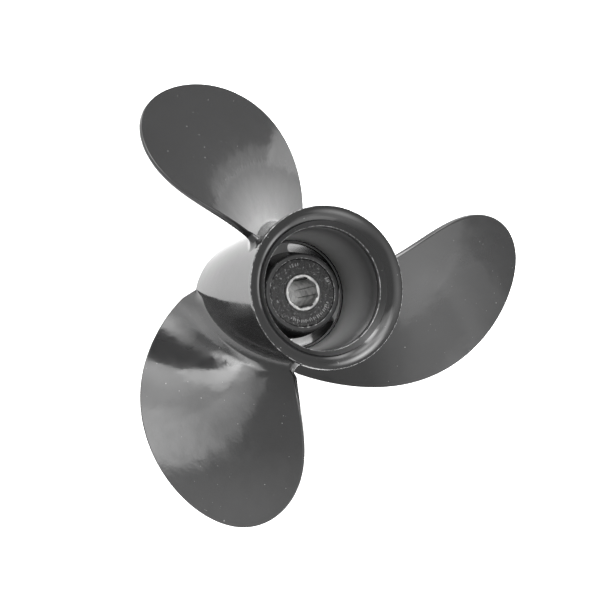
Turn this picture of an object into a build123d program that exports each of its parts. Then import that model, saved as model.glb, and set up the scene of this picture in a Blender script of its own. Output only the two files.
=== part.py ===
"""Three-blade through-hub-exhaust outboard propeller, 9 1/4 in diameter, right-hand.

Shaft axis = Z, +Z points aft.  The origin is the centre of the sleeve's forward
thrust face.  Blade 1 points along +X and the others follow every 120 degrees
counter-clockwise seen from aft.  Millimetres throughout.
"""
from math import atan2, cos, exp, hypot, pi, radians, sin, sqrt
import os

from build123d import *

os.makedirs("parts", exist_ok=True)

BLADES = 3
BLADE_STEP = 360 / BLADES

# ---- stations along the shaft (z) ----
Z_THRUST = 0.0                   # forward face of the sleeve
Z_FRONT = -6.0                   # front rim of the outer hub
Z_AFT = 93.0                     # aft rim of the diffuser ring
Z_RING = Z_AFT - 9.0             # where the diffuser ring starts
Z_SHOULDER = 46.5                # aft end of the ribs, step in the outer hub bore
Z_RIB_FRONT = 6.0                # forward end of the ribs
Z_INNER_FRONT = 4.0              # forward end of the inner hub
Z_INNER_AFT = 61.2               # aft end of the inner hub
Z_SLEEVE_AFT = 61.7              # aft end of the sleeve

# ---- outer hub and diffuser ring ----
FRONT_R = 32.4                   # front rim, outside
BELLY_R = 34.3                   # fattest part of the barrel
BELLY_SHARE = 0.55               # how far back along the barrel that is
RING_START_R = 34.0              # barrel where it meets the ring
FLARE_R = 38.5                   # outside of the flared rim
FLARE_UNDER = (35.0, 4.4)        # underside of the flare: radius, and depth below the rim
FLARE_EDGE = 2.0                 # depth of the rim's straight-sided edge
CREST_R = 37.9                   # highest circle of the rim
CREST_BULGE = (38.38, 0.6)       # the rounded edge outside it: radius, depth below the rim
MOUTH_MID = (35.0, 0.9)          # the bell mouth, half way: radius, depth
MOUTH_END = (31.8, 3.35)         # where the bell mouth becomes a cone
THROAT_R = 29.4                  # where the cone meets the bore
THROAT_DROP = 6.3
RING_BORE_R = 29.2               # bore where the ring starts
SHOULDER_R = 26.8                # bore just aft of the ribs
PASSAGE_R = 25.4                 # outer wall of the exhaust passages
FRONT_BORE_R = 28.6              # bore at the front rim
FRONT_BORE_END = 4.0             # z where the front bore has closed to the passages
RIM_CHAMFER = 0.8

# ---- inner hub ----
INNER_AFT_R = 19.1
INNER_SHOULDER_R = 21.2          # outside at the aft end of the ribs
INNER_FRONT_R = 21.5             # draft widens it forward
BUSH_BORE_R = 15.0
FLANGE_BORE_R = 16.5             # shallow recess for the bush flange
FLANGE_DEPTH = 4.0
INNER_EDGE = 0.6                 # chamfer on the outside edge
RECESS_EDGE = 0.3                # chamfer on the mouth of the recess

# ---- ribs ----
RIB_LEAD = -10.0                 # rib angle ahead of its blade's reference line
RIB_HALF_ANGLE = 20.0            # to the centres of the rounded passage ends
PASSAGE_ROUND = 2.3              # radius of the passage ends

# ---- rubber bush and splined sleeve ----
SLEEVE_R = 9.0
BUSH_CLEAR = 0.03                # radial gap, sleeve to rubber
BUSH_FRONT = 6.5
BUSH_AFT = 60.9
FLANGE_THICK = 3.7
BUSH_FLANGE_R = 16.45
BUSH_EDGE = 0.5
BUSH_LEAD_IN = (0.8, 2.0)        # taper that guides the rubber in: radial, axial
MARK_R = 13.7                    # arc of moulded marks on the bush's aft face
MARK_COUNT = 11
MARK_START = 128                 # degrees
MARK_SPREAD = 100
MARK_SIZE = (1.7, 0.7, 0.3)      # radial, tangential, height
COLLAR_R = 12.5
COLLAR_LEN = 5.0
PILOT_R = 8.8                    # plain bore through the collar
SPLINE_TEETH = 8
SPLINE_MINOR_R = 7.0
SPLINE_MAJOR_R = 7.75
SPLINE_GROOVE_ANGLE = 16.6
SPLINE_PHASE = 5.0
SPLINE_LEN = 26.5                # from the aft end of the sleeve
SPLINE_LEAD_IN = 0.4             # chamfer on the aft ends of the teeth
RELIEF_R = 7.9                   # plain bore between the splines and the pilot bore
SLEEVE_EDGE = 0.4
COLLAR_EDGE = 0.5

# ---- blades ----
TIP_R = 117.5
ROOT_R = 34.0                    # radius where the blade numbers below start
ROOT_PITCH = 296.0               # helix advance per turn at the root
TIP_PITCH = 283.0
FACE_Z = Z_AFT - 38.8            # face height on the reference line at the root
FACE_RAKE = 0.09                 # rise of that line per millimetre of radius
FACE_SAG = -8.2                  # its curvature, total at the tip
# Powers of the span fraction s, in degrees: the mid-chord angle, which sweeps the
# blade back, and half the angle the blade spans, before it closes to a round tip.
SKEW = (-26.8, 65.4, -53.4, 24.8)
HALF_WIDTH = (43.6, -17.5, 49.8, -34.1)
ROOT_CROWN = 7.0                 # blade thickness at mid chord, root
TIP_CROWN = 2.3
EDGE_THICK = 2.3                 # mean thickness towards the two edges
EDGE_BIAS = 0.020                # trailing side thicker, leading side thinner
CROWN_WIDTH = 26.0               # how wide the thick middle is
TRAIL_THICK = 3.4                # square trailing edge at the root
TRAIL_TAPER = -1.5               # and its change by the tip
BLADE_FRONT = Z_FRONT + 0.8      # the roots are trimmed just behind the front rim


def span(r):
    """Fraction of the way from the root radius to the tip."""
    return (r - ROOT_R) / (TIP_R - ROOT_R)


def power_sum(terms, s):
    return sum(term * s**k for k, term in enumerate(terms))


def mid_angle(r):
    return radians(power_sum(SKEW, span(r)))


def half_angle(r):
    s = span(r)
    return sqrt(max(1 - s, 0)) * radians(power_sum(HALF_WIDTH, s))


def lead_angle(r):
    return mid_angle(r) - half_angle(r)


def trail_angle(r):
    """The trailing edge is square to the face, so its forward corner lies further round."""
    slope = atan2(ROOT_PITCH, 2 * pi * r)
    wrap = (TRAIL_THICK + TRAIL_TAPER * span(r)) * sin(slope) * min(1, 3 * half_angle(r))
    return mid_angle(r) + half_angle(r) + wrap / r


def face_height(r, angle):
    """Height of the pressure face, a helicoid with a bent generating line."""
    s = span(r)
    pitch = ROOT_PITCH + (TIP_PITCH - ROOT_PITCH) * s
    return FACE_Z + FACE_RAKE * (r - ROOT_R) + FACE_SAG * s**2 + pitch / (2 * pi) * angle


def drop(r, angle):
    """Vertical distance from the pressure face down to the suction face."""
    s = span(r)
    slope = ROOT_PITCH / (2 * pi * r)
    across = r * (angle - mid_angle(r))
    edge = EDGE_THICK + EDGE_BIAS * max(-45, min(45, across))
    crown = ROOT_CROWN + (TIP_CROWN - ROOT_CROWN) * s**0.8 if s > 0 else ROOT_CROWN
    thick = edge + max(crown - edge, 0) * exp(-(across / CROWN_WIDTH) ** 2)
    return thick * sqrt(1 + slope**2)


def polar(r, angle):
    return (r * cos(angle), r * sin(angle))


def barrel_side():
    """Outside of the barrel from its front chamfer to the ring, as (r, z)."""
    belly_z = Z_FRONT + BELLY_SHARE * (Z_RING - Z_FRONT)
    return ThreePointArc((FRONT_R, Z_FRONT + RIM_CHAMFER), (BELLY_R, belly_z), (RING_START_R, Z_RING))


# The half plane the turned profiles are drawn in.  It lies clear of all three
# blade roots, so no seam runs under a blade.
SEAM = radians(150)
MERIDIAN = Plane(origin=(0, 0, 0), x_dir=(cos(SEAM), sin(SEAM), 0), z_dir=(sin(SEAM), -cos(SEAM), 0))

# ---------------------------------------------------------------- outer hub
with BuildPart() as outer_hub:
    with BuildSketch(MERIDIAN):
        with BuildLine():
            outside = barrel_side()
            Polyline(
                outside @ 1,
                (RING_BORE_R, Z_RING),
                (SHOULDER_R, Z_SHOULDER),
                (PASSAGE_R, Z_SHOULDER),
                (PASSAGE_R, FRONT_BORE_END),
                (FRONT_BORE_R, Z_FRONT),
                (FRONT_R - RIM_CHAMFER, Z_FRONT),
                outside @ 0,
            )
        make_face()
    revolve(axis=Axis.Z)
outer_hub.part.label = "outer_hub"
export_step(outer_hub.part, "parts/outer_hub.step")

# ---------------------------------------------------------------- diffuser ring
with BuildPart() as diffuser_ring:
    with BuildSketch(MERIDIAN):
        with BuildLine():
            rim_foot = (FLARE_R, Z_AFT - FLARE_EDGE)
            bulge = (CREST_BULGE[0], Z_AFT - CREST_BULGE[1])
            mouth_mid = (MOUTH_MID[0], Z_AFT - MOUTH_MID[1])
            mouth_end = (MOUTH_END[0], Z_AFT - MOUTH_END[1])
            under = ThreePointArc((RING_START_R, Z_RING), (FLARE_UNDER[0], Z_AFT - FLARE_UNDER[1]), rim_foot)
            edge = ThreePointArc(under @ 1, bulge, (CREST_R, Z_AFT))
            mouth = ThreePointArc(edge @ 1, mouth_mid, mouth_end)
            Polyline(mouth @ 1, (THROAT_R, Z_AFT - THROAT_DROP), (RING_BORE_R, Z_RING), under @ 0)
        make_face()
    revolve(axis=Axis.Z)
diffuser_ring.part.label = "diffuser_ring"
export_step(diffuser_ring.part, "parts/diffuser_ring.step")

# ---------------------------------------------------------------- inner hub
with BuildPart() as inner_hub:
    with BuildSketch(MERIDIAN):
        with BuildLine():
            Polyline(
                (BUSH_BORE_R, Z_INNER_FRONT),
                (INNER_FRONT_R, Z_INNER_FRONT),
                (INNER_SHOULDER_R, Z_SHOULDER),
                (INNER_AFT_R, Z_INNER_AFT - INNER_EDGE),
                (INNER_AFT_R - INNER_EDGE, Z_INNER_AFT),
                (FLANGE_BORE_R + RECESS_EDGE, Z_INNER_AFT),
                (FLANGE_BORE_R, Z_INNER_AFT - RECESS_EDGE),
                (FLANGE_BORE_R, Z_INNER_AFT - FLANGE_DEPTH),
                (BUSH_BORE_R, Z_INNER_AFT - FLANGE_DEPTH),
                close=True,
            )
        make_face()
    revolve(axis=Axis.Z)
inner_hub.part.label = "inner_hub"
export_step(inner_hub.part, "parts/inner_hub.step")

# ---------------------------------------------------------------- ribs
PASSAGE_MID_R = (PASSAGE_R + INNER_SHOULDER_R) / 2
with BuildPart() as rib:
    with BuildSketch(Plane.XY.offset(Z_RIB_FRONT)):
        wedge = radians(RIB_HALF_ANGLE)
        reach = PASSAGE_R / cos(wedge) + 1
        Circle(PASSAGE_R)
        Polygon((0, 0), polar(reach, wedge), polar(reach, -wedge), align=None, mode=Mode.INTERSECT)
        with PolarLocations(PASSAGE_MID_R, 2, start_angle=-RIB_HALF_ANGLE, angular_range=4 * RIB_HALF_ANGLE):
            Circle(PASSAGE_ROUND, mode=Mode.SUBTRACT)
    extrude(amount=Z_SHOULDER - Z_RIB_FRONT)
    with BuildSketch(MERIDIAN):
        with BuildLine():
            Polyline(
                (0, Z_INNER_FRONT),
                (INNER_FRONT_R, Z_INNER_FRONT),
                (INNER_SHOULDER_R, Z_SHOULDER),
                (0, Z_SHOULDER),
                close=True,
            )
        make_face()
    revolve(axis=Axis.Z, mode=Mode.SUBTRACT)
for n in range(BLADES):
    placed = rib.part.rotate(Axis.Z, RIB_LEAD + n * BLADE_STEP)
    placed.label = f"rib_{n + 1}"
    export_step(placed, f"parts/rib_{n + 1}.step")

# ---------------------------------------------------------------- blades
# Cross sections square to the root's middle line are lofted into a slab with
# the two helical faces, then trimmed by the blade outline.
SLAB_AXIS = -0.40                # angle of that line, rad
SLAB_X = (16, 24, 32, 41, 51, 62, 74, 86, 98, 110)
SLAB_LEAD = -36.0                # the slab's two long sides, across that line
SLAB_TRAIL = (34.0, 0.72)        # start and spread per millimetre of x
SLAB_POINTS = 15
OUTLINE_STEPS = 9
OUTLINE_OVERRUN = 5.0            # how far inside the barrel the outline starts
OUTLINE_ROOT_R = 22.0            # where its two sides are joined

with BuildPart() as blade:
    for x in SLAB_X:
        out = (cos(SLAB_AXIS), sin(SLAB_AXIS), 0)
        side = (-sin(SLAB_AXIS), cos(SLAB_AXIS), 0)
        with BuildSketch(Plane(origin=(x * out[0], x * out[1], 0), x_dir=side, z_dir=out)):
            with BuildLine():
                width = SLAB_TRAIL[0] + SLAB_TRAIL[1] * x - SLAB_LEAD
                across = [SLAB_LEAD + width * k / (SLAB_POINTS - 1) for k in range(SLAB_POINTS)]
                spots = [(y, hypot(x, y), SLAB_AXIS + atan2(y, x)) for y in across]
                face_line = Spline([(y, face_height(r, a)) for y, r, a in spots])
                back_line = Spline([(y, face_height(r, a) - drop(r, a)) for y, r, a in spots])
                Line(face_line @ 0, back_line @ 0)
                Line(face_line @ 1, back_line @ 1)
            make_face()
    loft()
    with BuildSketch(Plane.XY.offset(BLADE_FRONT)):
        with BuildLine():
            turns = [pi / 2 * k / OUTLINE_STEPS for k in range(OUTLINE_STEPS + 1)]
            first_r = ROOT_R - OUTLINE_OVERRUN
            radii = [first_r + (TIP_R - first_r) * sin(t) for t in turns]
            lead = [polar(r, lead_angle(r)) for r in radii]
            trail = [polar(r, trail_angle(r)) for r in radii]
            outline = Spline(lead + trail[-2::-1])
            Polyline(outline @ 0, polar(OUTLINE_ROOT_R, SLAB_AXIS), outline @ 1)
        make_face()
    extrude(amount=Z_AFT - BLADE_FRONT, mode=Mode.INTERSECT)
    with BuildSketch(MERIDIAN):
        with BuildLine():
            outside = barrel_side()
            Polyline(outside @ 1, (0, Z_RING), (0, Z_FRONT), (FRONT_R - RIM_CHAMFER, Z_FRONT), outside @ 0)
        make_face()
    revolve(axis=Axis.Z, mode=Mode.SUBTRACT)
for n in range(BLADES):
    placed = blade.part.rotate(Axis.Z, n * BLADE_STEP)
    placed.label = f"blade_{n + 1}"
    export_step(placed, f"parts/blade_{n + 1}.step")

# ---------------------------------------------------------------- rubber bush
with BuildPart() as rubber_bush:
    with BuildSketch(MERIDIAN):
        with BuildLine():
            Polyline(
                (SLEEVE_R + BUSH_CLEAR, BUSH_FRONT),
                (BUSH_BORE_R - BUSH_LEAD_IN[0], BUSH_FRONT),
                (BUSH_BORE_R, BUSH_FRONT + BUSH_LEAD_IN[1]),
                (BUSH_BORE_R, BUSH_AFT - FLANGE_THICK),
                (BUSH_FLANGE_R, BUSH_AFT - FLANGE_THICK),
                (BUSH_FLANGE_R, BUSH_AFT - BUSH_EDGE),
                (BUSH_FLANGE_R - BUSH_EDGE, BUSH_AFT),
                (SLEEVE_R + BUSH_CLEAR, BUSH_AFT),
                close=True,
            )
        make_face()
    revolve(axis=Axis.Z)
    with BuildSketch(Plane.XY.offset(BUSH_AFT)):
        with PolarLocations(MARK_R, MARK_COUNT, start_angle=MARK_START, angular_range=MARK_SPREAD):
            Rectangle(MARK_SIZE[0], MARK_SIZE[1])
    extrude(amount=MARK_SIZE[2])
rubber_bush.part.label = "rubber_bush"
export_step(rubber_bush.part, "parts/rubber_bush.step")

# ---------------------------------------------------------------- splined sleeve
Z_SPLINE = Z_SLEEVE_AFT - SPLINE_LEN
with BuildPart() as splined_sleeve:
    with BuildSketch(MERIDIAN):
        with BuildLine():
            Polyline(
                (SPLINE_MINOR_R, Z_SPLINE),
                (RELIEF_R, Z_SPLINE),
                (RELIEF_R, COLLAR_LEN),
                (PILOT_R, COLLAR_LEN),
                (PILOT_R, Z_THRUST),
                (COLLAR_R - COLLAR_EDGE, Z_THRUST),
                (COLLAR_R, Z_THRUST + COLLAR_EDGE),
                (COLLAR_R, COLLAR_LEN),
                (SLEEVE_R, COLLAR_LEN),
                (SLEEVE_R, Z_SLEEVE_AFT - SLEEVE_EDGE),
                (SLEEVE_R - SLEEVE_EDGE, Z_SLEEVE_AFT),
                (SPLINE_MINOR_R + SPLINE_LEAD_IN, Z_SLEEVE_AFT),
                (SPLINE_MINOR_R, Z_SLEEVE_AFT - SPLINE_LEAD_IN),
                close=True,
            )
        make_face()
    revolve(axis=Axis.Z)
    with BuildSketch(Plane.XY.offset(Z_SPLINE)):
        half = radians(SPLINE_GROOVE_ANGLE / 2)
        Circle(SPLINE_MAJOR_R)
        Circle(SPLINE_MINOR_R - 0.2, mode=Mode.SUBTRACT)
        with BuildSketch(mode=Mode.INTERSECT):
            with PolarLocations(0, SPLINE_TEETH, start_angle=SPLINE_PHASE):
                Polygon((0, 0), polar(12, half), polar(12, -half), align=None)
    extrude(amount=SPLINE_LEN, mode=Mode.SUBTRACT)
splined_sleeve.part.label = "splined_sleeve"
export_step(splined_sleeve.part, "parts/splined_sleeve.step")
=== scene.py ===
"""Studio scene of a gloss black three-blade outboard propeller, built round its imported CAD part.

Metres, in the part's own frame: the shaft axis is Z with +Z aft, the origin is the centre of the
sleeve's forward thrust face, and blade 1 points along +X.
"""
from math import asin, atan2, cos, pi, radians, sin, sqrt, tan

import bmesh
import bpy
from mathutils import Matrix, Quaternion, Vector


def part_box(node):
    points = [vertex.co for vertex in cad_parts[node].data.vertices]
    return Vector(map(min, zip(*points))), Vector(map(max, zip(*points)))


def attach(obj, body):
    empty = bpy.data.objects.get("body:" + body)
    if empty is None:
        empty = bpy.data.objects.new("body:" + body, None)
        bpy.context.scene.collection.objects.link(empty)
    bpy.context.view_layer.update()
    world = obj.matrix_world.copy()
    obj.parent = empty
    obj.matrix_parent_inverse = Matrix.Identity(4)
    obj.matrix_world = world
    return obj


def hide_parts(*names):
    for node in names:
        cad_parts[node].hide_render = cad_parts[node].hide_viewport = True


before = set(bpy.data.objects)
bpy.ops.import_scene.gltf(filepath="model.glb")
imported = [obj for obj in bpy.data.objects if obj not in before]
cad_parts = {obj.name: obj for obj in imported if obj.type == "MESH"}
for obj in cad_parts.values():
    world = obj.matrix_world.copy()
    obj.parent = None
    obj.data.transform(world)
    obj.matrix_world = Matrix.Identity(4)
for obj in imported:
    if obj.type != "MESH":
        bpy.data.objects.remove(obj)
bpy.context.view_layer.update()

MM = 0.001
TURN = 2 * pi
BLADES = 3

# ------------------------------------------------------------------ hub sizes, from the frame
Z_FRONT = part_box("outer_hub")[0].z
Z_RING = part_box("diffuser_ring")[0].z
Z_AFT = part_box("diffuser_ring")[1].z
FLARE_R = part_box("diffuser_ring")[1].x
BELLY_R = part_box("outer_hub")[1].y
BELLY_SHARE = 0.55                         # how far aft along the barrel its widest place lies
RING_START_R = BELLY_R - 0.3 * MM
FRONT_R = BELLY_R - 1.9 * MM
RIM_CHAMFER = 0.8 * MM
CAVITY_R = FLARE_R - 10 * MM               # front cavity, at the rim
Z_PASSAGE_FRONT = 4 * MM

Z_NECK = Z_AFT - 5.0 * MM                  # where the ring's outside turns outward
Z_EDGE = Z_AFT - 2.6 * MM                  # where its widest part begins
EDGE_R = FLARE_R - 0.02 * MM
Z_LIP = Z_AFT - 0.06 * MM
LIP_R = FLARE_R - 0.75 * MM                # where the bell mouth begins
MOUTH_ARC = 9.4 * MM                       # radius of the bell mouth's curve
MOUTH_ARC_R = FLARE_R + 0.45 * MM          # how far out its centre lies
Z_MOUTH_ARC = Z_AFT - 0.02 * MM - MOUTH_ARC
MOUTH_TURN = 50.0                          # degrees through which it turns inward
THROAT_R = FLARE_R - 9.2 * MM
Z_THROAT = Z_AFT - 6.3 * MM
RING_BORE_R = THROAT_R - 0.2 * MM

SHOULDER_R = FLARE_R - 11.8 * MM
PASSAGE_R = FLARE_R - 13.2 * MM
Z_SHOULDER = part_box("rib_1")[1].z
Z_RIB_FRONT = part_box("rib_1")[0].z
INNER_FRONT_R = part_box("inner_hub")[1].x
INNER_SHOULDER_R = INNER_FRONT_R - 0.3 * MM
INNER_AFT_R = INNER_FRONT_R - 2.4 * MM
Z_INNER_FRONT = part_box("inner_hub")[0].z
Z_INNER_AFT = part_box("inner_hub")[1].z
Z_BUSH_SEAT = Z_INNER_AFT - 4 * MM         # floor of the recess that holds the bush's flange
BUSH_FLANGE_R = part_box("rubber_bush")[1].x
BUSH_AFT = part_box("rubber_bush")[1].z - 0.3 * MM
BUSH_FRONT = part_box("rubber_bush")[0].z
Z_FLANGE = BUSH_AFT - 3.7 * MM             # front of the bush's flange
BUSH_BORE_R = 15.0 * MM                    # the inner hub's bore, which the bush fills
SLEEVE_R = 9.0 * MM
SLEEVE_GAP = 0.03 * MM                     # stands for the bond, as in the CAD

RIB_LEAD = -10.0                           # degrees, middle of rib 1
RIB_HALF_ANGLE = 20.0                      # to the centres of the rounded passage ends
RIB_BEVEL = 0.7 * MM
RIB_BEVEL_ANGLE = 50                       # edges that turn less than this have no bevel
PASSAGE_ROUND = 2.3 * MM

MARK_R = 13.7 * MM                         # long arc of raised marks on the bush, as in the CAD
MARK_COUNT = 11
MARK_START = 128                           # degrees
MARK_SPREAD = 100
MARK_GROUPS = [                            # short groups: radius, angles in degrees
    (MARK_R + 0.2 * MM, (-17, -11, -5)),
    (MARK_R + 0.9 * MM, (-98, -91)),
]
MARK_HEIGHT = 0.28 * MM
MARK_SINK = 0.2 * MM                       # how deep the strokes reach into the bush
MARK_ROUND = 0.12 * MM
STROKE_SHIFT = 0.6 * MM                    # a mark is two strokes, either side of its middle
WIDE_STROKE = 0.6 * MM
NARROW_STROKE = 0.45 * MM
WIDE_LENGTHS = (1.9, 1.2, 1.6)             # mm, taken in turn
NARROW_LENGTHS = (0.8, 1.5)

# ------------------------------------------------------------------ blade numbers, as in the CAD
TIP_R = 117.42 * MM
ROOT_R = 34.0 * MM
PITCH = (296 * MM, 283 * MM)               # helix advance per turn, root and tip
FACE_Z = Z_AFT - 38.8 * MM                 # face height on the reference line at the root
FACE_RAKE = 0.09
FACE_SAG = -8.2 * MM
SKEW = (-26.8, 65.4, -53.4, 24.8)          # mid-chord angle, degrees, powers of the span
HALF_WIDTH = (43.6, -17.5, 49.8, -34.1)    # half the blade's angle before the tip closes
CROWN = (7.0 * MM, 2.4 * MM)               # thickness at mid chord, root and tip
CROWN_POWER = 1.3                          # how steeply it falls towards the edges
LEAD_THICK = (1.8 * MM, 1.3 * MM)
TRAIL_THICK = (3.4 * MM, 1.9 * MM)
TRAIL_ROUND = 0.8 * MM                     # corner radius of the square trailing edge
TRAIL_ROUND_SHARE = 0.42                   # and the most it takes of the edge's thickness
EDGE_SHARE = 0.9                           # the most an edge's rounding takes of half the chord
TIP_CLOSING = 0.9 * MM                     # the thickness closes over this much below the tip
FILLET = 5.0 * MM                          # blade root to barrel
FILLET_LEAST = 0.3 * MM
FILLET_START = 1.5 * MM                    # height above the front rim where it begins to grow
FILLET_GROWTH = 16 * MM                    # height over which it grows to its full size
FILLET_SINK = 0.02 * MM                    # its foot lies this far inside the barrel
BLADE_LOWEST = 1.0 * MM                    # above the front rim
ROW_GAP = 1.2 * MM                         # between the fillet's top and the next row of points

# ------------------------------------------------------------------ how finely meshes are cut
LATHE_SEGMENTS = 224
BARREL_ROWS = 60
MOUTH_STEPS = 40
RIB_STEPS = 10
SPAN_STEPS = 84
FILLET_STEPS = 12
SECTION_STEPS = 44
CORNER_STEPS = 5
LEAD_STEPS = 8
ARC_SHARE = 0.49                           # the most a corner's arc takes of the side beside it
ARC_FLANK = 0.4 * MM                       # a profile has one more point this far past an arc
STRAIGHT = 89                              # half a corner's opening, degrees, that needs no arc
WELD = 1e-7                                # vertices closer than this become one


def mix(pair, s):
    return pair[0] + (pair[1] - pair[0]) * s


def power_sum(terms, s):
    return sum(term * s**k for k, term in enumerate(terms))


def smooth_step(x):
    x = max(0.0, min(1.0, x))
    return x * x * (3 - 2 * x)


def turned(v, t):
    """The flat vector v turned through t."""
    return Vector((v.x * cos(t) - v.y * sin(t), v.x * sin(t) + v.y * cos(t)))


# ------------------------------------------------------------------ mesh helpers
def new_piece(name, verts, faces, material, replaces=(), body="propeller"):
    mesh = bpy.data.meshes.new(name)
    mesh.from_pydata(verts, [], faces)
    mesh.validate()
    work = bmesh.new()
    work.from_mesh(mesh)
    bmesh.ops.remove_doubles(work, verts=work.verts, dist=WELD)
    bmesh.ops.recalc_face_normals(work, faces=work.faces)
    work.to_mesh(mesh)
    work.free()
    mesh.polygons.foreach_set("use_smooth", [True] * len(mesh.polygons))
    piece = bpy.data.objects.new(name, mesh)
    bpy.context.scene.collection.objects.link(piece)
    mesh.materials.append(material)
    if replaces:
        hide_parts(*replaces)
    if body:
        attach(piece, body)
    return piece


def round_profile(corners, steps=7):
    """A closed (r, z) outline from corners (r, z, radius), each corner an arc.

    Corners of radius 0, and those that hardly turn, stay single points."""
    points = []
    count = len(corners)
    for i, (r, z, radius) in enumerate(corners):
        here = Vector((r, z))
        before = Vector(corners[i - 1][:2]) - here
        after = Vector(corners[(i + 1) % count][:2]) - here
        a, b = before.normalized(), after.normalized()
        half = a.angle(b) / 2
        if radius <= 0 or half > radians(STRAIGHT):
            points.append(here)
            continue
        reach = min(radius / tan(half), before.length * ARC_SHARE, after.length * ARC_SHARE)
        radius = reach * tan(half)
        centre = here + (a + b).normalized() * (radius / sin(half))
        start, end = here + a * reach - centre, here + b * reach - centre
        sweep = start.angle_signed(end)
        flank = min(ARC_FLANK, reach)
        points.append(here + a * min(reach + flank, before.length * 0.5))
        for k in range(steps + 1):
            points.append(centre + turned(start, -sweep * k / steps))
        points.append(here + b * min(reach + flank, after.length * 0.5))
    return points


def lathe(name, outline, material, replaces, inner=()):
    """Turns a closed (r, z) outline about the shaft axis.

    inner lists (material, low, high): faces between those heights that look at the axis
    have that material."""
    verts, faces = [], []
    count = len(outline)
    for k in range(LATHE_SEGMENTS):
        t = TURN * k / LATHE_SEGMENTS
        verts += [(p.x * cos(t), p.x * sin(t), p.y) for p in outline]
    for k in range(LATHE_SEGMENTS):
        here, there = k * count, (k + 1) % LATHE_SEGMENTS * count
        for i in range(count):
            j = (i + 1) % count
            faces.append((here + i, there + i, there + j, here + j))
    piece = new_piece(name, verts, faces, material, replaces)
    for number, (other, low, high) in enumerate(inner, 1):
        piece.data.materials.append(other)
        for face in piece.data.polygons:
            if face.normal.xy.dot(face.center.xy) < 0 and low < face.center.z < high:
                face.material_index = number


# ------------------------------------------------------------------ blade shape
def face_height(r, angle):
    s = (r - ROOT_R) / (TIP_R - ROOT_R)
    return FACE_Z + FACE_RAKE * (r - ROOT_R) + FACE_SAG * s * s + mix(PITCH, s) / TURN * angle


def barrel_radius(z):
    """Outside of the outer hub: an arc through the front rim, the belly and the ring."""
    low, mid, high = Z_FRONT + RIM_CHAMFER, Z_FRONT + BELLY_SHARE * (Z_RING - Z_FRONT), Z_RING
    front = (FRONT_R - BELLY_R) * ((z - mid) / (low - mid)) ** 2
    back = (RING_START_R - BELLY_R) * ((z - mid) / (high - mid)) ** 2
    return BELLY_R + (front if z < mid else back)


def section(s):
    """One blade section at span s, unrolled: its radius, its helix angle and its outline.

    The outline is a list of (along, off, normal along, normal off). 'along' runs from the
    leading to the trailing edge on the pressure face, and 'off' is square to it."""
    r = ROOT_R + (TIP_R - ROOT_R) * s
    slope = atan2(mix(PITCH, s), TURN * r)
    half = sqrt(max(1 - s, 0)) * radians(power_sum(HALF_WIDTH, s)) * r / cos(slope)
    closing = sqrt(max(1 - max(0, 1 - (TIP_R - r) / TIP_CLOSING) ** 2, 0.0))
    lead, trail, crown = (mix(pair, s) * closing for pair in (LEAD_THICK, TRAIL_THICK, CROWN))
    lead_round = lead / 2
    trail_round = min(TRAIL_ROUND, trail * TRAIL_ROUND_SHARE)
    start = -half + min(lead_round, half * EDGE_SHARE)
    end = half - min(trail_round, half * EDGE_SHARE)

    def depth(u):
        edge = lead + (trail - lead) * (u + 1) / 2
        return edge + max(crown - (lead + trail) / 2, 0) * (1 - u * u) ** CROWN_POWER

    outline = []
    for k in range(SECTION_STEPS + 1):         # pressure face
        u = -cos(pi * k / SECTION_STEPS)
        outline.append((start + (end - start) * (u + 1) / 2, 0.0, 0.0, 1.0))
    for k in range(1, CORNER_STEPS + 1):       # first corner of the trailing edge
        t = pi / 2 * (1 - k / CORNER_STEPS)
        off = -trail_round * (1 - sin(t))
        outline.append((end + trail_round * cos(t), off, cos(t), sin(t)))
    for k in range(CORNER_STEPS):              # second corner
        t = -pi / 2 * k / CORNER_STEPS
        off = -trail + trail_round * (1 + sin(t))
        outline.append((end + trail_round * cos(t), off, cos(t), sin(t)))
    for k in range(SECTION_STEPS + 1):         # suction face
        u = cos(pi * k / SECTION_STEPS)
        outline.append((start + (end - start) * (u + 1) / 2, -depth(u), 0.0, -1.0))
    for k in range(1, LEAD_STEPS):             # round leading edge
        t = -pi / 2 - pi * k / LEAD_STEPS
        off = -lead_round * (1 - sin(t))
        outline.append((start + lead_round * cos(t), off, cos(t), sin(t)))
    return r, slope, outline


def blade_rows():
    """Rows of blade points from the tip down to the barrel, as (r, angle, z)."""
    rows = []
    for s in (sin(pi / 2 * k / SPAN_STEPS) for k in range(SPAN_STEPS, -1, -1)):
        r, slope, outline = section(s)
        mid = radians(power_sum(SKEW, s))
        height = face_height(r, mid)
        row = []
        for along, off, _, _ in outline:
            angle = mid + (along * cos(slope) - off * sin(slope)) / r
            row.append((r, angle, height + along * sin(slope) + off * cos(slope)))
        rows.append(row)
    # near the root every point comes down to the top of its own fillet
    r, slope, outline = section(0.0)
    mid = radians(SKEW[0])
    height = face_height(r, mid)
    for k in range(FILLET_STEPS + 1):
        t = pi / 2 * k / FILLET_STEPS
        row = []
        for along, off, nx, ny in outline:
            above = height + along * sin(slope) + off * cos(slope) - Z_FRONT - FILLET_START
            size = FILLET_LEAST + (FILLET - FILLET_LEAST) * smooth_step(above / FILLET_GROWTH)
            out = size * (1 - cos(t))
            a, b = along + nx * out, off + ny * out
            angle = mid + (a * cos(slope) - b * sin(slope)) / r
            z = max(height + a * sin(slope) + b * cos(slope), Z_FRONT + BLADE_LOWEST)
            row.append((barrel_radius(z) + size * (1 - sin(t)) - FILLET_SINK, angle, z))
        rows.append(row)
    return rows


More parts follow.
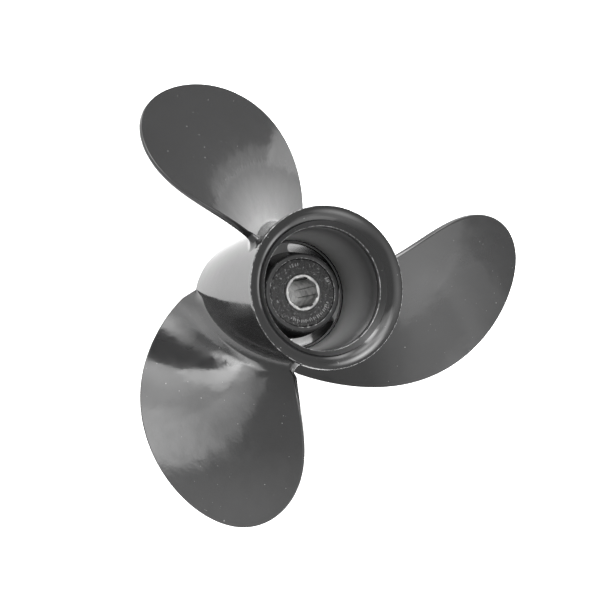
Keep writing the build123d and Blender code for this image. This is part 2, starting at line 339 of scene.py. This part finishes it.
def blade_mesh():
    """Vertices and faces of blade 1, from the rows that clear the fillet and the fillet's own."""
    rows = blade_rows()
    first = len(rows) - FILLET_STEPS - 1
    limit = max(point[0] for point in rows[first]) + ROW_GAP
    kept = [row for row in rows[:first] if min(point[0] for point in row) > limit] + rows[first:]
    count = len(kept[0])
    verts = [(r * cos(a), r * sin(a), z) for row in kept for r, a, z in row]
    faces = []
    for i in range(len(kept) - 1):
        for j in range(count):
            k = (j + 1) % count
            faces.append((i * count + j, i * count + k, (i + 1) * count + k, (i + 1) * count + j))
    faces.append(tuple(range(count - 1, -1, -1)))
    return verts, faces


# ------------------------------------------------------------------ materials
MOTTLING = 45                              # scales of noise, per metre
PEEL = 120
GLOSS = 160
HIGHLIGHT_SPECKS = 420
SPECKS = 650
GRAIN = 700
HIGHLIGHT_SPECK_RANGE = (0.56, 0.74)                  # noise over which the painted highlight specks show, at share 0
DUST_RANGE = (0.775, 0.82)
MIDDLE_RANGE = (0.3, 0.7)                  # most of a noise's values
DUST_SPECK = (0.14, 0.14, 0.137)
# pale grey of the painted highlight rings
RING_HIGHLIGHT = 0.32
# pale grey of the glints painted into the rubber
GLINT = 0.22
STEEL_DARK = (0.28, 0.28, 0.28)
STEEL_LIGHT = (0.50, 0.50, 0.49)


def grey(shade):
    return (shade,) * 3


def add(tree, kind, **settings):
    node = tree.nodes.new(kind)
    for key, value in settings.items():
        setattr(node, key, value)
    return node


def new_material(name):
    mat = bpy.data.materials.new(name)
    mat.use_nodes = True
    tree = mat.node_tree
    coords = add(tree, "ShaderNodeTexCoord").outputs["Object"]
    return mat, tree, tree.nodes["Principled BSDF"], coords


def noise(tree, coords, scale, detail=2.0, rough=0.5):
    node = add(tree, "ShaderNodeTexNoise")
    node.inputs["Scale"].default_value = scale
    node.inputs["Detail"].default_value = detail
    node.inputs["Roughness"].default_value = rough
    tree.links.new(coords, node.inputs["Vector"])
    return node.outputs["Fac"]


def ramp(tree, source, low, high, start=0.0, end=1.0):
    """Maps source from low..high to start..end, clamped."""
    node = add(tree, "ShaderNodeMapRange")
    node.inputs["From Min"].default_value = low
    node.inputs["From Max"].default_value = high
    node.inputs["To Min"].default_value = start
    node.inputs["To Max"].default_value = end
    tree.links.new(source, node.inputs["Value"])
    return node.outputs["Result"]


def blend_colour(tree, factor, first, second):
    """Mixes two colours; first may be another node's output."""
    node = add(tree, "ShaderNodeMix", data_type="RGBA")
    if isinstance(first, tuple):
        node.inputs["A"].default_value = (*first, 1)
    else:
        tree.links.new(first, node.inputs["A"])
    node.inputs["B"].default_value = (*second, 1)
    tree.links.new(factor, node.inputs["Factor"])
    return node.outputs["Result"]


def bump(tree, height, strength, distance, below=None):
    """A bumped normal, on top of the normal 'below' where there is one."""
    node = add(tree, "ShaderNodeBump")
    node.inputs["Strength"].default_value = strength
    node.inputs["Distance"].default_value = distance
    tree.links.new(height, node.inputs["Height"])
    if below is not None:
        tree.links.new(below, node.inputs["Normal"])
    return node.outputs["Normal"]


def axes(tree, coords):
    """The outputs X, Y and Z of the object's coordinates."""
    apart = add(tree, "ShaderNodeSeparateXYZ")
    tree.links.new(coords, apart.inputs["Vector"])
    return apart.outputs


def add_painted_highlights(tree, coords, colour, highlight_rings):
    """Painted highlights: pale specks along circles about the axis, standing in for the light
    lines on rounded edges.

    Each entry is (radius, half width, share): the larger the share, the more specks show."""
    place = axes(tree, coords)
    flat = add(tree, "ShaderNodeCombineXYZ")
    for axis in "XY":
        tree.links.new(place[axis], flat.inputs[axis])
    radius = add(tree, "ShaderNodeVectorMath", operation="LENGTH")
    tree.links.new(flat.outputs["Vector"], radius.inputs[0])
    speck = noise(tree, coords, HIGHLIGHT_SPECKS, 4, 0.75)
    low, high = HIGHLIGHT_SPECK_RANGE
    for middle, half, share in highlight_rings:
        near = add(tree, "ShaderNodeMath", operation="COMPARE")
        tree.links.new(radius.outputs["Value"], near.inputs[0])
        near.inputs[1].default_value = middle
        near.inputs[2].default_value = half
        lit_speck = add(tree, "ShaderNodeMath", operation="MULTIPLY")
        tree.links.new(near.outputs["Value"], lit_speck.inputs[0])
        tree.links.new(ramp(tree, speck, low - share, high - share), lit_speck.inputs[1])
        colour = blend_colour(tree, lit_speck.outputs["Value"], colour, grey(RING_HIGHLIGHT))
    return colour


def paint(name, peel, grain, shade=0.015, rough=(0.08, 0.16), highlight_rings=(), painted_light_gradient=None):
    """Gloss black paint on a casting: orange peel, grain, dusty specks and painted highlights on
    edges.

    With a gradient given as (height, shade there, height, shade there), the colour runs between
    those shades along the axis as painted light and shade. Without it the paint is faintly mottled
    about its shade."""
    mat, tree, shader, coords = new_material(name)
    # Painted light: the colour runs from one shade to the other along the axis.
    if painted_light_gradient:
        low, low_shade, high, high_shade = painted_light_gradient
        along = ramp(tree, axes(tree, coords)["Z"], low, high)
        colour = blend_colour(tree, along, grey(low_shade), grey(high_shade))
    else:
        light = (shade * 1.25, shade * 1.25, shade * 1.28)
        mottling = noise(tree, coords, MOTTLING, 3)
        colour = blend_colour(tree, mottling, grey(shade * 0.85), light)
    specks = ramp(tree, noise(tree, coords, SPECKS, 1), *DUST_RANGE)
    colour = blend_colour(tree, specks, colour, DUST_SPECK)
    # painted highlights along edges, as pale speckled rings
    if highlight_rings:
        colour = add_painted_highlights(tree, coords, colour, highlight_rings)
    tree.links.new(colour, shader.inputs["Base Color"])
    gloss = ramp(tree, noise(tree, coords, GLOSS, 3), *MIDDLE_RANGE, *rough)
    tree.links.new(gloss, shader.inputs["Roughness"])
    waves = bump(tree, noise(tree, coords, PEEL, 1.5), peel, 0.4 * MM)
    surface = bump(tree, noise(tree, coords, GRAIN, 2), grain, 0.1 * MM, waves)
    tree.links.new(surface, shader.inputs["Normal"])
    shader.inputs["IOR"].default_value = 1.5
    return mat


def steel(name):
    """Broached and faced sleeve steel."""
    mat, tree, shader, coords = new_material(name)
    tone = ramp(tree, noise(tree, coords, 260, 4), 0.38, 0.62)
    colour = blend_colour(tree, tone, STEEL_DARK, STEEL_LIGHT)
    tree.links.new(colour, shader.inputs["Base Color"])
    shader.inputs["Metallic"].default_value = 1.0
    gloss = ramp(tree, noise(tree, coords, 500, 3), *MIDDLE_RANGE, 0.28, 0.5)
    tree.links.new(gloss, shader.inputs["Roughness"])
    surface = bump(tree, noise(tree, coords, 1500, 3), 0.15, 0.05 * MM)
    tree.links.new(surface, shader.inputs["Normal"])
    return mat


def rubber(name, shade):
    """Moulded rubber: a coarse shiny grain, and pale glints painted into its colour."""
    mat, tree, shader, coords = new_material(name)
    tone = blend_colour(tree, noise(tree, coords, 90, 4), grey(shade * 0.7), grey(shade * 1.5))
    # Painted highlights: pale glint specks blended into the base colour.
    glint = ramp(tree, noise(tree, coords, 850, 3, 0.7), 0.58, 0.70)
    tree.links.new(blend_colour(tree, glint, tone, grey(GLINT)), shader.inputs["Base Color"])
    gloss = ramp(tree, noise(tree, coords, 400, 3), *MIDDLE_RANGE, 0.10, 0.28)
    tree.links.new(gloss, shader.inputs["Roughness"])
    surface = bump(tree, noise(tree, coords, GRAIN, 4, 0.75), 1.0, 0.9 * MM)
    tree.links.new(surface, shader.inputs["Normal"])
    return mat


def pale_floor(name):
    """A pale table that is lit from below as well."""
    mat, tree, shader, coords = new_material(name)
    patches = noise(tree, coords, 6, 2)
    colour = blend_colour(tree, patches, grey(0.84), grey(0.86))
    tree.links.new(colour, shader.inputs["Base Color"])
    shader.inputs["Roughness"].default_value = 0.9
    glow = blend_colour(tree, patches, grey(0.97), grey(1.0))
    tree.links.new(glow, shader.inputs["Emission Color"])
    shader.inputs["Emission Strength"].default_value = 1.0
    return mat


# One gloss black paint in a shade chosen per region as painted light and shade: the barrel, ring
# and mouth cone are painted darker than the blades.
blade_paint = paint("black_paint_blades", peel=0.26, grain=0.16)
hub_paint = paint("black_paint_hub", peel=0.08, grain=0.04, shade=0.009)
# Painted highlights: pale speckled rings at the ring's throat and outer edge.
ring_paint = paint("black_paint_ring", peel=0.08, grain=0.04, shade=0.006, highlight_rings=[
    (THROAT_R, 0.18 * MM, 0.12),
    (FLARE_R - 0.2 * MM, 0.13 * MM, 0.11),
])
# Painted highlight: a pale speckled ring at the throat.
cone_paint = paint("black_paint_cone", peel=0.2, grain=0.1, shade=0.010, rough=(0.38, 0.5),
                   highlight_rings=[(THROAT_R, 0.26 * MM, 0.16)])
# Painted highlight: the band under the throat is painted pale grey.
highlight_band_paint = paint("black_paint_highlight_band", peel=0.2, grain=0.1, shade=0.05, rough=(0.34, 0.5))
# Painted light: the inner walls and the ribs are painted paler deep down, where light comes in
# through the passages, and darker near the ring.
inside_paint = paint("black_paint_inside", peel=0.2, grain=0.1, rough=(0.34, 0.5),
                     painted_light_gradient=(Z_SHOULDER + 4 * MM, 0.24, Z_RING - 5 * MM, 0.012))
# Painted highlights: pale speckled rings at the edge of the bush's recess and at the inner hub's
# aft edge.
inner_paint = paint("black_paint_inner", peel=0.15, grain=0.12, shade=0.018, rough=(0.14, 0.26),
                    highlight_rings=[
                        (BUSH_FLANGE_R + 0.35 * MM, 0.16 * MM, 0.08),
                        (INNER_AFT_R - 0.2 * MM, 0.12 * MM, 0.0),
                    ])
sleeve_steel = steel("sleeve_steel")
bush_rubber = rubber("bush_rubber", shade=0.013)
# Painted highlight: the raised marks are painted pale grey where they glint.
mark_rubber_painted_glint = rubber("mark_rubber_painted_glint", shade=0.16)


# ------------------------------------------------------------------ hub pieces
# Profiles list (radius, height, rounding of the corner).
def outer_hub():
    low = Z_FRONT + RIM_CHAMFER
    heights = [low + (Z_RING - Z_FRONT - RIM_CHAMFER) * k / BARREL_ROWS
               for k in range(BARREL_ROWS + 1)]
    outside = [Vector((barrel_radius(z), z)) for z in heights]
    inside = round_profile([
        (RING_BORE_R, Z_RING, 0),
        (SHOULDER_R, Z_SHOULDER, 0.5 * MM),
        (PASSAGE_R, Z_SHOULDER, 0.7 * MM),
        (PASSAGE_R, Z_PASSAGE_FRONT, 1.0 * MM),
        (CAVITY_R, Z_FRONT, 0.6 * MM),
        (FRONT_R - RIM_CHAMFER, Z_FRONT, 0.4 * MM),
        (FRONT_R, Z_FRONT + RIM_CHAMFER, 0),
    ])
    lathe("outer_hub_barrel", outside + inside[:-1], hub_paint, ["outer_hub"],
          inner=[(inside_paint, Z_SHOULDER + MM, Z_RING)])


def diffuser_ring():
    """Flared ring: rounded outside edge, bell mouth turning inward, then a cone to the throat."""
    outline = round_profile([
        (RING_START_R, Z_RING, 0),
        (RING_START_R + 0.5 * MM, Z_NECK, 4 * MM),
        (EDGE_R, Z_EDGE, 0.7 * MM),
        (EDGE_R, Z_LIP, 0.55 * MM),
        (LIP_R, Z_LIP, 0),
    ], steps=12)[:-1]
    centre = Vector((MOUTH_ARC_R, Z_MOUTH_ARC))
    first = asin((MOUTH_ARC_R - LIP_R) / MOUTH_ARC)
    for k in range(MOUTH_STEPS + 1):
        t = first + (radians(MOUTH_TURN) - first) * k / MOUTH_STEPS
        outline.append(centre + Vector((-sin(t), cos(t))) * MOUTH_ARC)
    end = outline[-1]
    throat = Vector((THROAT_R, Z_THROAT))
    outline.append(end.lerp(throat, 0.6))
    outline += round_profile([
        (*end.lerp(throat, 0.7), 0),
        (THROAT_R, Z_THROAT, 0.5 * MM),
        (RING_BORE_R, Z_RING, 0),
    ])[1:]
    lathe("diffuser_ring_flare", outline, ring_paint, ["diffuser_ring"],
          inner=[(highlight_band_paint, Z_RING, Z_THROAT), (cone_paint, Z_THROAT, end.y)])


def inner_hub():
    outline = round_profile([
        (BUSH_BORE_R, Z_INNER_FRONT, 0.4 * MM),
        (INNER_FRONT_R, Z_INNER_FRONT, 0.5 * MM),
        (INNER_SHOULDER_R, Z_SHOULDER, 0.8 * MM),
        (INNER_AFT_R, Z_INNER_AFT, 1.1 * MM),
        (BUSH_FLANGE_R + 0.1 * MM, Z_INNER_AFT, 0.3 * MM),
        (BUSH_FLANGE_R + 0.05 * MM, Z_BUSH_SEAT, 0),
        (BUSH_BORE_R, Z_BUSH_SEAT, 0),
    ])
    lathe("inner_hub_tube", outline, inner_paint, ["inner_hub"])


def rubber_bush():
    outline = round_profile([
        (SLEEVE_R + SLEEVE_GAP, BUSH_FRONT, 0),
        (BUSH_BORE_R - 0.1 * MM, BUSH_FRONT, 0.8 * MM),
        (BUSH_BORE_R - 0.05 * MM, Z_FLANGE, 0),
        (BUSH_FLANGE_R, Z_FLANGE, 0),
        (BUSH_FLANGE_R, BUSH_AFT, 0.5 * MM),
        (SLEEVE_R + SLEEVE_GAP, BUSH_AFT, 0.2 * MM),
    ])
    lathe("rubber_bush_body", outline, bush_rubber, ["rubber_bush"])


def bush_marks():
    """Small raised strokes moulded on the bush's aft face: a long arc and two short groups."""
    low, high = BUSH_AFT - MARK_SINK, BUSH_AFT + MARK_HEIGHT
    places = [(MARK_R, MARK_START + MARK_SPREAD * k / MARK_COUNT) for k in range(MARK_COUNT)]
    places += [(r, turn) for r, turns in MARK_GROUPS for turn in turns]
    verts, faces = [], []

    def stroke(r, turn, shift, length, width):
        """One raised bar, long in the radial direction and shifted along the arc."""
        a = radians(turn)
        out, along = Vector((cos(a), sin(a), 0)), Vector((-sin(a), cos(a), 0))
        centre = out * r + along * shift
        first = len(verts)
        for z, inset in ((low, 0.0), (high - MARK_ROUND, 0.0), (high, MARK_ROUND)):
            for side, end in ((-1, -1), (1, -1), (1, 1), (-1, 1)):
                edge = centre + out * side * (length / 2 - inset)
                spot = edge + along * end * (width / 2 - inset)
                verts.append((spot.x, spot.y, z))
        for layer in (first, first + 4):
            for i in range(4):
                j = (i + 1) % 4
                faces.append((layer + i, layer + j, layer + 4 + j, layer + 4 + i))
        faces.append(tuple(first + i for i in (3, 2, 1, 0)))
        faces.append(tuple(first + i for i in (8, 9, 10, 11)))

    for number, (r, turn) in enumerate(places):
        wide = WIDE_LENGTHS[number % len(WIDE_LENGTHS)] * MM
        narrow = NARROW_LENGTHS[number % len(NARROW_LENGTHS)] * MM
        stroke(r, turn, STROKE_SHIFT, wide, WIDE_STROKE)
        stroke(r, turn, -STROKE_SHIFT, narrow, NARROW_STROKE)
    new_piece("bush_marks", verts, faces, mark_rubber_painted_glint)


def rib(number):
    """A rib between the inner hub and the barrel, with rounded passage ends."""
    middle = radians(RIB_LEAD + 360 / BLADES * (number - 1))
    half = radians(RIB_HALF_ANGLE)
    mid_r = (PASSAGE_R + INNER_SHOULDER_R) / 2
    steps = range(RIB_STEPS + 1)

    def spot(r, t):
        return Vector((r * cos(t), r * sin(t)))

    def passage_end(side):
        centre = spot(mid_r, middle + side * half)
        radial = centre.normalized()
        across = Vector((-radial.y, radial.x)) * -side
        turns = [pi / 2 - pi * k / RIB_STEPS for k in steps]
        return [centre + radial * (PASSAGE_ROUND * sin(t)) + across * (PASSAGE_ROUND * cos(t))
                for t in turns]

    outline = [spot(PASSAGE_R + 0.3 * MM, middle - half + 2 * half * k / RIB_STEPS)
               for k in steps]
    outline += passage_end(1)
    outline += [spot(INNER_SHOULDER_R - 0.2 * MM, middle + half - 2 * half * k / RIB_STEPS)
                for k in steps]
    outline += passage_end(-1)[::-1]
    count = len(outline)
    verts = [(p.x, p.y, z) for z in (Z_RIB_FRONT, Z_SHOULDER - 0.05 * MM) for p in outline]
    faces = [tuple(range(count)), tuple(range(count, 2 * count))]
    faces += [(i, (i + 1) % count, (i + 1) % count + count, i + count) for i in range(count)]
    piece = new_piece(f"rib_{number}_web", verts, faces, inside_paint, [f"rib_{number}"])
    bevel = piece.modifiers.new("edges", "BEVEL")
    bevel.width = RIB_BEVEL
    bevel.segments = 3
    bevel.limit_method = "ANGLE"
    bevel.angle_limit = radians(RIB_BEVEL_ANGLE)


outer_hub()
diffuser_ring()
inner_hub()
rubber_bush()
bush_marks()
for n in range(1, BLADES + 1):
    rib(n)
blade_verts, blade_faces = blade_mesh()
for n in range(BLADES):
    spin = Matrix.Rotation(TURN * n / BLADES, 4, "Z")
    verts = [tuple(spin @ Vector(v)) for v in blade_verts]
    new_piece(f"blade_{n + 1}_cast", verts, blade_faces, blade_paint, [f"blade_{n + 1}"])

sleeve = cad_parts["splined_sleeve"]
sleeve.data.materials.clear()
sleeve.data.materials.append(sleeve_steel)

# ------------------------------------------------------------------ floor
FLOOR_HALF = 3.0                           # half its side
FLOOR_GAP = 0.05 * MM                      # under the front rim


def floor():
    half, z = FLOOR_HALF, Z_FRONT - FLOOR_GAP
    verts = [(-half, -half, z), (half, -half, z), (half, half, z), (-half, half, z)]
    piece = new_piece("floor", verts, [(0, 1, 2, 3)], pale_floor("pale_floor"), body=None)


floor()

# ------------------------------------------------------------------ light
# A light's direction is its azimuth from +X and its polar angle from +Z, in degrees.
LIT_POINT = Vector((0, 0, (Z_FRONT + Z_AFT) / 2))
LIGHT_DISTANCE = 1.3
WORLD_STRENGTH = 0.88
SOFT_BOXES = [                             # name, azimuth, polar, (width, height), brightness
    ("box_right", -14, 56, (1.45, 1.42), 0.95),
    ("box_right_core", -3, 73, (0.42, 0.5), 4.7),
    ("box_left", -172, 76, (1.1, 0.6), 0.9),
    ("edge_right", 17, 53, (0.33, 1.0), 1.5),
    ("edge_low", -92, 88.5, (0.64, 0.16), 1.0),
    ("edge_back", -114, 82, (0.46, 0.46), 2.0),
    ("edge_left", -165, 57, (0.36, 0.36), 0.6),
]
LAMPS = [                                  # azimuth, polar, reach, brightness
    (-40, 35, 16, 0.33), (-20, 35, 16, 0.08), (0, 35, 16, 0.14), (-20, 58, 16, 0.155),
    (0, 58, 16, 0.07), (0, 80, 16, 0.19), (-40, 80, 16, 0.135), (-120, 80, 16, 0.03),
    (-140, 80, 16, 0.15), (180, 35, 16, 0.11), (40, 14, 28, 0.16), (-175, 72, 28, 0.12),
    (162, 58, 28, 0.105), (162, 32, 28, 0.10), (-80, 30, 28, 0.03), (-5, 45, 10, 0.03),
]


def direction(azimuth, polar):
    a, p = radians(azimuth), radians(polar)
    return Vector((cos(a) * sin(p), sin(a) * sin(p), cos(p)))


def place_light(name, light, azimuth, polar):
    """Hangs a light in that direction from the part, facing it."""
    lamp = bpy.data.objects.new(name, light)
    bpy.context.scene.collection.objects.link(lamp)
    away = direction(azimuth, polar)
    lamp.location = LIT_POINT + away * LIGHT_DISTANCE
    lamp.rotation_mode = "QUATERNION"
    lamp.rotation_quaternion = away.to_track_quat("Z", "Y")
    lamp.visible_camera = False


def soft_box(name, azimuth, polar, size, brightness):
    """An even rectangular box; brightness is its surface's, against white at 1."""
    light = bpy.data.lights.new(name, "AREA")
    light.shape = "RECTANGLE"
    light.size, light.size_y = size
    light.energy = brightness * pi * size[0] * size[1]
    place_light(name, light, azimuth, polar)


def soft_lamp(name, azimuth, polar, reach, brightness):
    """A round umbrella that fades from its middle to its edge, reach degrees away.

    Its brightness is what it would be if it shone evenly all round."""
    light = bpy.data.lights.new(name, "AREA")
    light.shape = "DISK"
    light.size = 2 * LIGHT_DISTANCE * tan(radians(reach))
    light.spread = 2 * radians(reach)
    light.energy = brightness * pi * pi * light.size**2 / 4
    place_light(name, light, azimuth, polar)


for box in SOFT_BOXES:
    soft_box(*box)
for number, lamp in enumerate(LAMPS, 1):
    soft_lamp(f"lamp_{number}", *lamp)

world = bpy.data.worlds.new("studio")
world.use_nodes = True
world.node_tree.nodes["Background"].inputs["Color"].default_value = (1, 1, 1, 1)
world.node_tree.nodes["Background"].inputs["Strength"].default_value = WORLD_STRENGTH
bpy.context.scene.world = world
bpy.context.scene.view_settings.view_transform = "Standard"

# ------------------------------------------------------------------ camera
CAMERA_AZIMUTH = 162.24
CAMERA_ELEVATION = 67.78
CAMERA_DISTANCE = 0.9626
CAMERA_ROLL = 78.79                        # turn about the camera's own line of sight
CAMERA_LENS = 116.2
CAMERA_SENSOR = 36
CAMERA_AIM = Vector((-7.4, -3.3, 47.8)) * MM


def camera():
    data = bpy.data.cameras.new("camera")
    data.sensor_width = CAMERA_SENSOR
    data.lens = CAMERA_LENS
    cam = bpy.data.objects.new("camera", data)
    bpy.context.scene.collection.objects.link(cam)
    a, e = radians(CAMERA_AZIMUTH), radians(CAMERA_ELEVATION)
    back = Vector((sin(a) * cos(e), -cos(a) * cos(e), sin(e)))
    cam.location = CAMERA_AIM + back * CAMERA_DISTANCE
    cam.rotation_mode = "QUATERNION"
    level = (-back).to_track_quat("-Z", "Y")
    cam.rotation_quaternion = level @ Quaternion((0, 0, 1), radians(CAMERA_ROLL))
    bpy.context.scene.camera = cam


camera()
